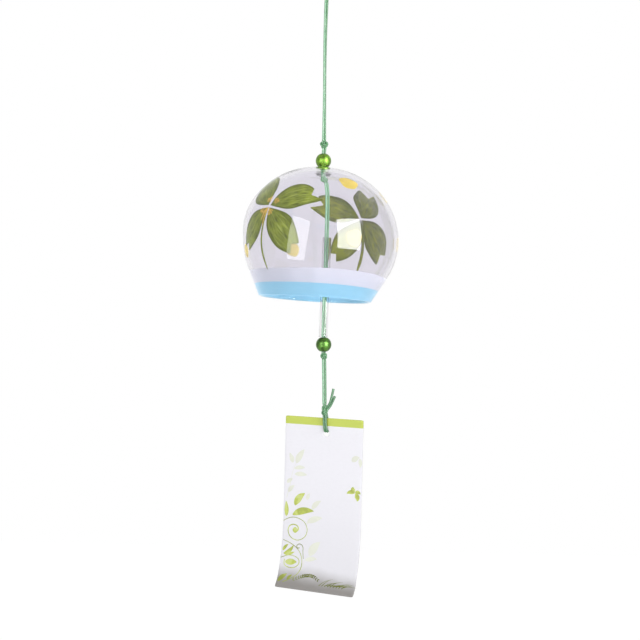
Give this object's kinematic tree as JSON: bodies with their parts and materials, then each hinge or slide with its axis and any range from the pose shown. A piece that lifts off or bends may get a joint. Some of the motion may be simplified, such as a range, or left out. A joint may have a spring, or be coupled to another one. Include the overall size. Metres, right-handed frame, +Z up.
{
  "type": "furin wind bell",
  "caption": "Hanging glass wind bell on a doubled green cord, with a glass tube clapper, beads and a printed paper strip that catches the wind.",
  "frame": {"origin": "the place where the hanging loop bears on its hook, in the middle of its strand's underside at the fold", "axes": "+Z up along the hanging cord; +X to the right and -Y towards the front, as the painted flowers and the paper's lime edge are seen"},
  "size_m": [0.08, 0.08, 0.3429],
  "materials": {
    "green_cord": "satin",
    "painted_glass": "gloss",
    "clear_glass": "gloss",
    "lime_bead": "gloss",
    "green_bead": "gloss",
    "printed_paper": "matte"
  },
  "bodies": {
    "hanger": {"hanging_loop": "green_cord"},
    "loop_knot": {"loop_knot": "green_cord"},
    "hanging_cord": {"hanging_cord_left": "green_cord", "hanging_cord_right": "green_cord"},
    "neck": {"upper_knot": "green_cord", "neck_cord_left": "green_cord", "neck_cord_right": "green_cord"},
    "bell": {"glass_bell": "painted_glass"},
    "upper_bead": {"upper_bead": "lime_bead"},
    "inner_knot": {"inner_knot": "green_cord"},
    "striker_cord": {"striker_cord_left": "green_cord", "striker_cord_right": "green_cord", "lower_knot": "green_cord"},
    "clapper": {"clapper_tube": "clear_glass"},
    "lower_bead": {"lower_bead": "green_bead"},
    "tag_cord": {"tag_cord_left": "green_cord", "tag_cord_right": "green_cord"},
    "tag_knot": {"tag_knot": "green_cord", "tag_loop": "green_cord", "tag_tail_long": "green_cord", "tag_tail_short": "green_cord"},
    "paper": {"paper_tag": "printed_paper"}
  },
  "joints": [
    {"name": "cord_sway", "type": "hinge", "parent": "hanger", "child": "loop_knot", "pos_m": [0, 0, -0.0335], "axis": [1, 0, 0], "range_deg": [-25, 25]},
    {"name": "cord_swing", "type": "hinge", "parent": "loop_knot", "child": "hanging_cord", "pos_m": [0, 0, -0.0335], "axis": [0, 1, 0], "range_deg": [-30, 30]},
    {"name": "cord_twist", "type": "hinge", "parent": "hanging_cord", "child": "neck", "pos_m": [0.00075, 0, -0.11265], "axis": [0, 0, 1], "range_deg": [-180, 180]},
    {"name": "bell_rock", "type": "hinge", "parent": "neck", "child": "bell", "pos_m": [0.00055, 0, -0.1284], "axis": [0, 1, 0], "range_deg": [-4, 4]},
    {"name": "upper_bead_spin", "type": "hinge", "parent": "neck", "child": "upper_bead", "pos_m": [0.0005, 0, -0.12098], "axis": [0, 0, 1], "continuous": true},
    {"name": "striker_swing", "type": "hinge", "parent": "neck", "child": "inner_knot", "pos_m": [0.0012, 0, -0.1301], "axis": [0, 1, 0], "range_deg": [-10, 18]},
    {"name": "striker_sway", "type": "hinge", "parent": "inner_knot", "child": "striker_cord", "pos_m": [0.0012, 0, -0.1301], "axis": [1, 0, 0], "range_deg": [-15, 12]},
    {"name": "tube_slide", "type": "slide", "parent": "striker_cord", "child": "clapper", "axis": [0, 0, 1], "range_m": [0, 0.022]},
    {"name": "lower_bead_spin", "type": "hinge", "parent": "striker_cord", "child": "lower_bead", "pos_m": [0.003, 0, -0.2156], "axis": [0, 0, 1], "continuous": true},
    {"name": "tag_cord_swing", "type": "hinge", "parent": "striker_cord", "child": "tag_cord", "pos_m": [0.0032, 0, -0.2215], "axis": [0, 1, 0], "range_deg": [-35, 35]},
    {"name": "tag_twist", "type": "hinge", "parent": "tag_cord", "child": "tag_knot", "pos_m": [0.0045, 0, -0.2494], "axis": [0, 0, 1], "range_deg": [-180, 180]},
    {"name": "tag_rock", "type": "hinge", "parent": "tag_knot", "child": "paper", "pos_m": [0.0056, 0, -0.2604], "axis": [-0.4431, -0.8965, 0], "range_deg": [-20, 20]}
  ]
}
